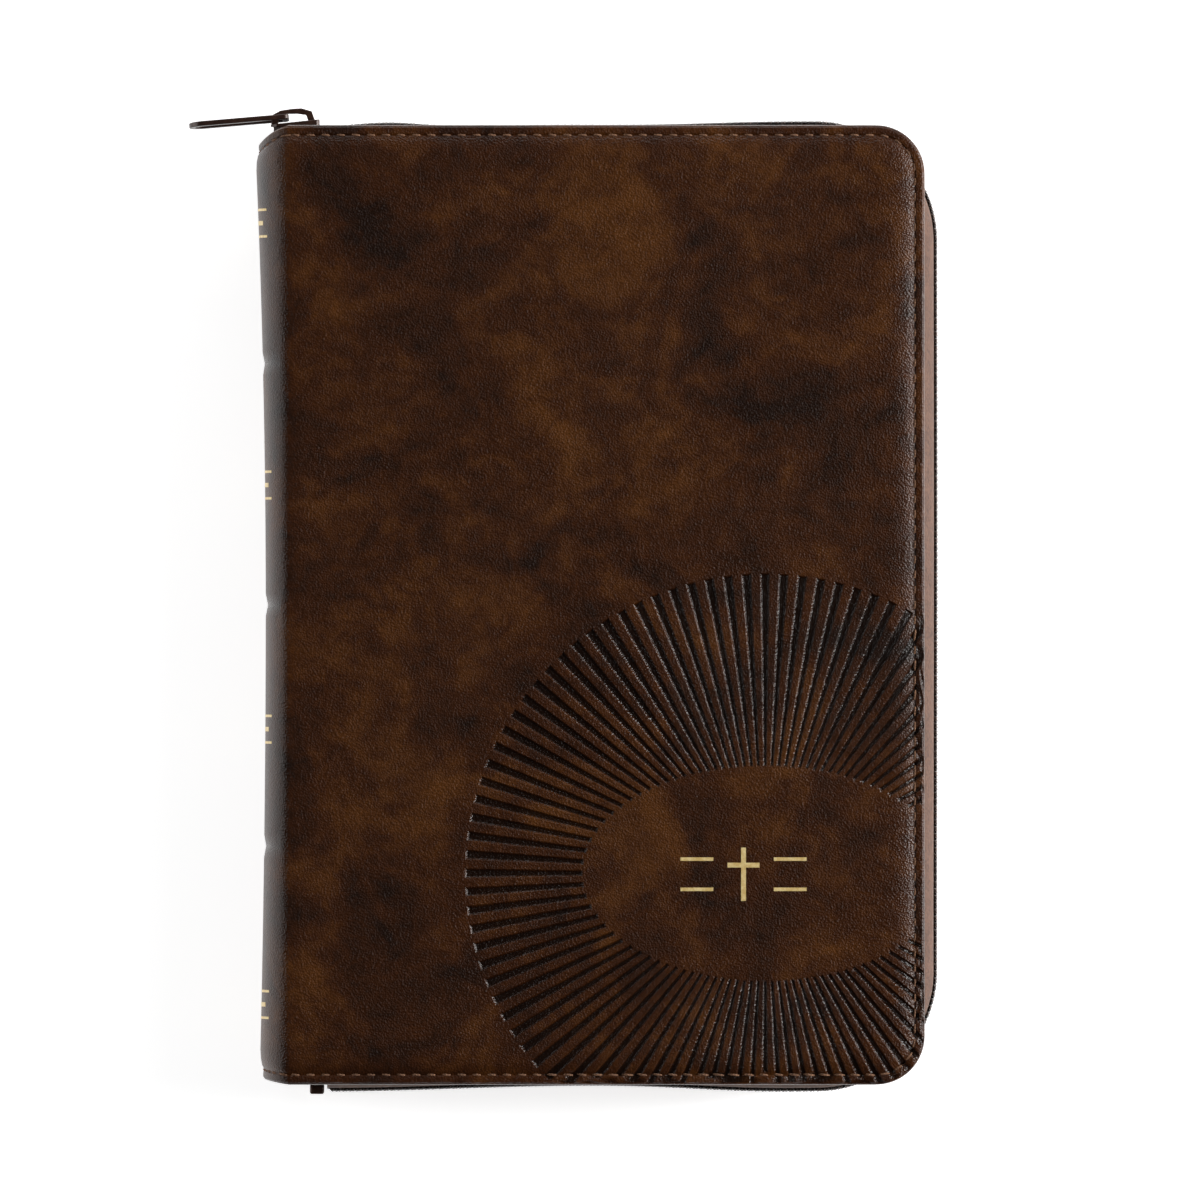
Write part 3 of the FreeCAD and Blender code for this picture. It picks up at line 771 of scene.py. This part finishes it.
def make_cast(name, node, body, thicker=0.0):
    """A slider part: its CAD shape with worn edges, grown by this much."""
    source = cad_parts[node]
    mesh = source.data.copy()
    mesh.name = name
    obj = bpy.data.objects.new(name, mesh)
    bpy.context.collection.objects.link(obj)
    work = bmesh.new()
    work.from_mesh(mesh)
    bmesh.ops.remove_doubles(work, verts=work.verts, dist=0.004 * MM)
    bmesh.ops.dissolve_limit(work, angle_limit=math.radians(2), verts=work.verts,
                             edges=work.edges)
    work.to_mesh(mesh)
    work.free()
    rest = mesh.attributes.get("rest") or mesh.attributes.new("rest", "FLOAT_VECTOR", "POINT")
    places = [c / MM for v in mesh.vertices for c in v.co]
    rest.data.foreach_set("vector", places)
    mesh.materials.clear()
    mesh.materials.append(PAINT)
    if thicker:
        grow = obj.modifiers.new("casting", "DISPLACE")
        grow.strength = thicker * MM
        grow.mid_level = 0.0
    bevel = obj.modifiers.new("worn_edges", "BEVEL")
    bevel.width = WORN_EDGE * MM
    bevel.segments = 2
    bevel.limit_method = "ANGLE"
    bevel.angle_limit = math.radians(35)
    for polygon in mesh.polygons:
        polygon.use_smooth = True
    mesh.set_sharp_from_angle(angle=math.radians(40))
    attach(obj, body)
    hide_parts(node)


# ---------------------------------------------------------------- sheets and block
HINGE_STEP = 0.9           # point spacing where a sheet bends
HINGE_WIDTH = 18.0
LEAF_ROWS = 17
LEAF_GAP = 0.04
LEAF_TRIM = 0.12           # unevenness of the first leaves' edges


def plan_half_height(x, fore_x, half_y, r):
    """Half height of a sheet with rounded fore-edge corners at this x."""
    over = max(x - (fore_x - r), 0)
    return half_y - r + math.sqrt(max(r * r - over * over, 0))


def columns_of(spine_x, fore_x, r):
    near = list(np.arange(spine_x, spine_x + HINGE_WIDTH, HINGE_STEP))
    flat = list(np.linspace(near[-1] + HINGE_STEP, fore_x - r, 24))
    curve = [fore_x - r + r * math.sin(a) for a in np.linspace(0, math.pi / 2, 13)[1:-1]]
    return near + flat + curve + [fore_x - 0.02 * r]


def leaf(spine_x, fore_x, half_y, r, low, high):
    """Closed thin sheet with close columns at its hinge."""
    columns = columns_of(spine_x, fore_x, r)
    points = []
    for z in (low, high):
        for x in columns:
            reach = plan_half_height(x, fore_x, half_y, r)
            points += [(x, reach * (2 * k / (LEAF_ROWS - 1) - 1), z) for k in range(LEAF_ROWS)]
    return points, slab_faces(len(columns), LEAF_ROWS)


def node_leaf(node, r, layers):
    """One or more sheets filling a node's box."""
    low, high = box_mm(node)
    step = (high[2] - low[2]) / layers
    gap = LEAF_GAP if layers > 1 else 0
    parts = []
    for k in range(layers):
        z = low[2] + k * step
        trim = random.uniform(0, LEAF_TRIM) if layers > 1 else 0.0
        parts.append(leaf(low[0], high[0] - trim, high[1] - trim, r, z, z + step - gap))
    return join_parts(parts)


def make_sheets():
    rows = [("front_lining", "front_cover_lining", "front_cover", LINING, "lining", 9.6, 1),
            ("front_pasted_endpaper", "front_pastedown", "front_cover", PAPER, "paper", 9.0, 1),
            ("back_lining", "back_cover_lining", None, LINING, "lining", 9.6, 1),
            ("rear_pasted_endpaper", "rear_pastedown", None, PAPER, "paper", 9.0, 1),
            ("flyleaf_sheet", "front_flyleaf", "flyleaf", PAPER, "paper", 12.0, 1),
            ("first_leaves_sheets", "first_leaves", "leaves", PAPER, "paper", 12.0, 4)]
    for name, node, body, material, slot, r, layers in rows:
        points, faces = node_leaf(node, r, layers)
        obj = piece(name, points, faces, material)
        if body is None:
            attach(obj, "book")
        else:
            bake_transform(obj)
        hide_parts(node)


def make_page_block():
    """Rounded back, hollow fore-edge, and layers trimmed unevenly; its faces are paper."""
    low, high = box_mm("page_block")
    rounding, hollow, corner, layers, unevenness = 5.0, 3.5, 12.0, 60, 0.14
    middle = (low[2] + high[2]) / 2
    half = (high[2] - low[2]) / 2
    points, count = [], 0
    for k in range(layers + 1):
        z = low[2] + (high[2] - low[2]) * k / layers
        level = (z - middle) / half
        back = low[0] + rounding * level ** 2
        fore = high[0] - hollow * (1 - level ** 2)
        trim = random.uniform(0, unevenness)
        half_y = high[1] - trim
        ring = [(back, -half_y, z), (fore - corner, -half_y, z)]
        arc = np.linspace(0, math.pi / 2, 10)[1:]
        ring += [(fore - trim - corner + corner * math.sin(a),
                  -half_y + corner - corner * math.cos(a), z) for a in arc]
        ring += [(x, -y, z) for x, y, _ in reversed(ring)]
        points += ring
        count = len(ring)
    faces = grid_faces(layers + 1, count, closed=True)
    faces.append(tuple(range(count)))
    faces.append(tuple(range(len(points) - count, len(points))))
    obj = piece("text_block", points, faces, PAGE_EDGE, smooth=False)
    obj.data.materials.append(PAPER)
    for polygon in obj.data.polygons:
        if abs(polygon.normal.z) > 0.9:
            polygon.material_index = 1
    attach(obj, "book")
    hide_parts("page_block")


def make_bands():
    """Ribbed silk bands at the head and tail of the text block's back."""
    for node in ("head_band", "tail_band"):
        low, high = box_mm(node)
        steps = 240
        middle = [(low[i] + high[i]) / 2 for i in range(3)]
        reach = (high[2] - low[2]) / 2 - 0.3
        path, across, radii = [], [], []
        for k in range(steps + 1):
            level = -1 + 2 * k / steps
            x = low[0] + 0.75 + (high[0] - low[0] - 1.5) * level ** 2
            path.append(Vector((x, middle[1], middle[2] + reach * level)))
            across.append((Vector((1, 0, 0)), Vector((0, 1, 0))))
            rib = 0.62 + 0.08 * math.cos(k * math.pi / 2)
            radii.append((rib, rib))
        points, faces = tube(path, across, radii, 10)
        obj = piece(node + "_silk", points, faces, BAND)
        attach(obj, "book")
        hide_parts(node)


def make_foam(name, node, body, side):
    """Foam pad with a soft rounded rim."""
    low, high = box_mm(node)
    r = 8.0
    base = low[2] if side > 0 else high[2]
    top = high[2] if side > 0 else low[2]
    rounding = 0.5 * (top - base)
    points = []
    columns = np.linspace(low[0], high[0] - 0.05, 40)
    rows = 33
    for is_top in (False, True):
        for i, x in enumerate(columns):
            reach = plan_half_height(x, high[0], high[1], r)
            for k in range(rows):
                near = min(i, len(columns) - 1 - i, k, rows - 1 - k)
                round_off = rounding * (1 - min(near, 2) / 2) ** 2
                z = top - round_off if is_top else base
                points.append((x, reach * (2 * k / (rows - 1) - 1), z))
    obj = piece(name, points, slab_faces(len(columns), rows), FOAM)
    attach(obj, body)
    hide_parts(node)


def make_stiffener():
    """Card that follows the inside of the waisted spine."""
    turns = np.linspace(0.55, math.pi - 0.55, 22)
    rows = np.linspace(-100, 100, 41)
    points = []
    faces_at = (1.25, 1.75)    # depths of the card's two faces in from the leather's outside
    for depth in faces_at:
        for turn in turns:
            for y in rows:
                points.append(tuple(spine_point(turn, y) - spine_normal(turn) * depth))
    obj = piece("spine_card", points, slab_faces(len(turns), len(rows)), CARD)
    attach(obj, "book")
    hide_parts("spine_stiffener")


# ---------------------------------------------------------------- foil
FOIL_SUNK = 0.05
FOIL_LIFT = 0.035


def foil_patch(place, size, count=6):
    """Thin raised patch on a surface; place maps flat coordinates to a point and a direction."""
    (u0, v0), (u1, v1) = size
    points = []
    for height in (-FOIL_SUNK, FOIL_LIFT):
        for i in range(count + 1):
            for j in range(count + 1):
                at, out = place(u0 + (u1 - u0) * i / count, v0 + (v1 - v0) * j / count)
                points.append(tuple(at + out * height))
    wide = count + 1
    return points, grid_faces(wide, wide, wide ** 2) + rim_faces(wide, wide)


def on_panel(u, v):
    x, y = FOIL_CENTRE[0] + u, FOIL_CENTRE[1] + v
    z = THICKNESS - float(drop_at(inset_of(x, y))) + float(ripple(x, y))
    return Vector((x, y, z)), Vector((0, 0, 1))


def on_spine(turn, y):
    return spine_point(turn, y), spine_normal(turn)


def make_foil():
    """A plain cross between rules on the front, and plain rules on the spine."""
    parts = [foil_patch(on_panel, ((-0.55, -6.0), (0.55, 6.0))),
             foil_patch(on_panel, ((-3.6, 1.5), (-0.55, 2.6))),
             foil_patch(on_panel, ((0.55, 1.5), (3.6, 2.6)))]
    for side in (-1, 1):
        for v in (-3.4, 3.4):
            ends = sorted((side * 6.8, side * 14.2))
            parts.append(foil_patch(on_panel, ((ends[0], v - 0.4), (ends[1], v + 0.4))))
    points, faces = join_parts(parts)
    front = piece("front_foil", points, faces, FOIL)
    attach(front, "front_cover")
    parts = []
    for middle in (86.0, 27.0, -28.0, -90.0):
        for y in (middle - 3.0, middle + 3.0):
            parts.append(foil_patch(on_spine, ((0.8, y - 0.28), (math.pi - 0.8, y + 0.28)),
                                    count=16))
        parts.append(foil_patch(on_spine, ((1.0, middle - 0.5), (math.pi - 1.0, middle + 0.5)),
                                count=16))
    points, faces = join_parts(parts)
    spine = piece("spine_foil", points, faces, FOIL)
    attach(spine, "book")


# ---------------------------------------------------------------- assembly
make_front_leather()
make_back_leather()
make_stitching()
make_tape("front_tape_woven", "front_zip_tape", "front_cover", 1)
make_tape("back_tape_woven", "back_zip_tape", "book", -1)
make_coil("front_coil_wire", "front_zip_coil", "front_cover", 1)
make_coil("back_coil_wire", "back_zip_coil", "book", -1)
make_cast("slider_casting", "slider_body", "zip_slider")
make_cast("bridge_casting", "slider_bridge", "zip_slider", thicker=0.3)
make_cast("pull_ring", "zip_pull", "pull")
make_sheets()
make_page_block()
make_bands()
make_foam("front_foam_pad", "front_cover_foam", "front_cover", 1)
make_foam("back_foam_pad", "back_cover_foam", "book", -1)
make_stiffener()
make_foil()
# these CAD nodes are shown as they are
for node, material in (("front_cover_board", BOARD), ("back_cover_board", BOARD),
                       ("spine_mull", MULL), ("zip_end_stop", STOP)):
    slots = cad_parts[node].data.materials
    for index in range(len(slots)):
        slots[index] = material


# ---------------------------------------------------------------- studio
def area_light(name, place, target, size, power):
    light = bpy.data.lights.new(name, "AREA")
    light.shape = "RECTANGLE"
    light.size, light.size_y = size
    light.energy = power
    obj = bpy.data.objects.new(name, light)
    obj.location = place
    obj.rotation_euler = (Vector(target) - Vector(place)).to_track_quat("-Z", "Y").to_euler()
    bpy.context.collection.objects.link(obj)


def make_studio():
    """Floor, backdrop and lights, in metres."""
    half, below = 12.0, 0.0006
    mesh = bpy.data.meshes.new("floor")
    corners = [(-half, -half, 0), (half, -half, 0), (half, half, 0), (-half, half, 0)]
    mesh.from_pydata([(x, y, z - below) for x, y, z in corners], [], [(0, 1, 2, 3)])
    floor = bpy.data.objects.new("floor", mesh)
    bpy.context.collection.objects.link(floor)
    paint = Shader("pale_floor", carried_over=True)
    paint.set(Base_Color=paint.ramp(paint.noise(60.0), [(0.0, (0.9, 0.9, 0.9)),
                                                        (1.0, (0.94, 0.94, 0.94))]),
              Roughness=0.9)
    paint.surface.inputs["Emission Color"].default_value = (1, 1, 1, 1)
    paint.surface.inputs["Emission Strength"].default_value = 0.8
    mesh.materials.append(paint.material)
    world = bpy.data.worlds.new("studio")
    world.use_nodes = True
    tree = world.node_tree
    dim = tree.nodes["Background"]
    dim.inputs["Color"].default_value = (0.9, 0.95, 1, 1)
    dim.inputs["Strength"].default_value = 0.04
    # the backdrop is white where it is seen directly, and lights the object only dimly
    white = tree.nodes.new("ShaderNodeBackground")
    seen = tree.nodes.new("ShaderNodeLightPath")
    either = tree.nodes.new("ShaderNodeMixShader")
    tree.links.new(seen.outputs["Is Camera Ray"], either.inputs[0])
    tree.links.new(dim.outputs[0], either.inputs[1])
    tree.links.new(white.outputs[0], either.inputs[2])
    tree.links.new(either.outputs[0], tree.nodes["World Output"].inputs["Surface"])
    bpy.context.scene.world = world
    area_light("key_right", (1.2, 0.2, 0.42), (0, 0, 0.03), (0.45, 1.1), 30)
    area_light("roll_right", (1.0, 0.0, 0.62), (0, 0, 0.03), (0.3, 1.2), 4.0)
    area_light("fill_left", (-1.25, 0.1, 0.32), (0, 0, 0.02), (0.4, 1.2), 6)
    area_light("head_soft", (0.0, 1.3, 0.45), (0, 0, 0.03), (1.2, 0.4), 6)
    bpy.context.scene.view_settings.view_transform = "Standard"


def make_camera():
    """Long lens, straight down."""
    lens, sensor, frame_width = 1000.0, 36.0, 0.27
    camera = bpy.data.cameras.new("camera")
    camera.lens = lens
    camera.sensor_width = sensor
    obj = bpy.data.objects.new("camera", camera)
    obj.location = (0.0019, 0.0011, THICKNESS * MM + lens / sensor * frame_width)
    bpy.context.collection.objects.link(obj)
    bpy.context.scene.camera = obj


make_studio()
make_camera()
